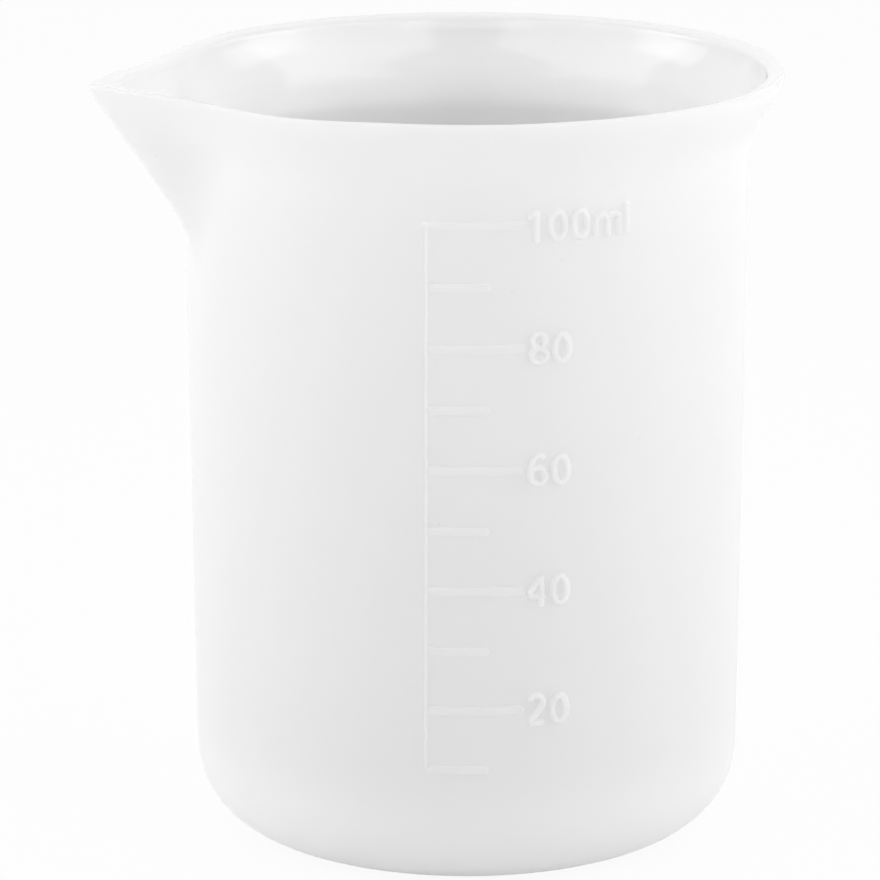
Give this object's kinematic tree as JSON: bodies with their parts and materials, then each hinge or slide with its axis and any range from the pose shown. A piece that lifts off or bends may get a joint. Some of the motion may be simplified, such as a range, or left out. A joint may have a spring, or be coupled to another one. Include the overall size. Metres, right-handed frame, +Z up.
{
  "type": "resin mixing cup",
  "caption": "Round silicone cup with a flared rim, a pointed pouring spout and a raised millilitre scale, for measuring, mixing and pouring resin.",
  "frame": {"origin": "centre of the flat base, on the cup's axis", "axes": "+Z up along the cup's axis, -X towards the pouring spout, -Y towards the front of the scale"},
  "size_m": [0.0649, 0.0582, 0.0721],
  "materials": {
    "silicone": "satin, milky translucent white"
  },
  "bodies": {
    "root": {"cup": "silicone"}
  },
  "joints": []
}
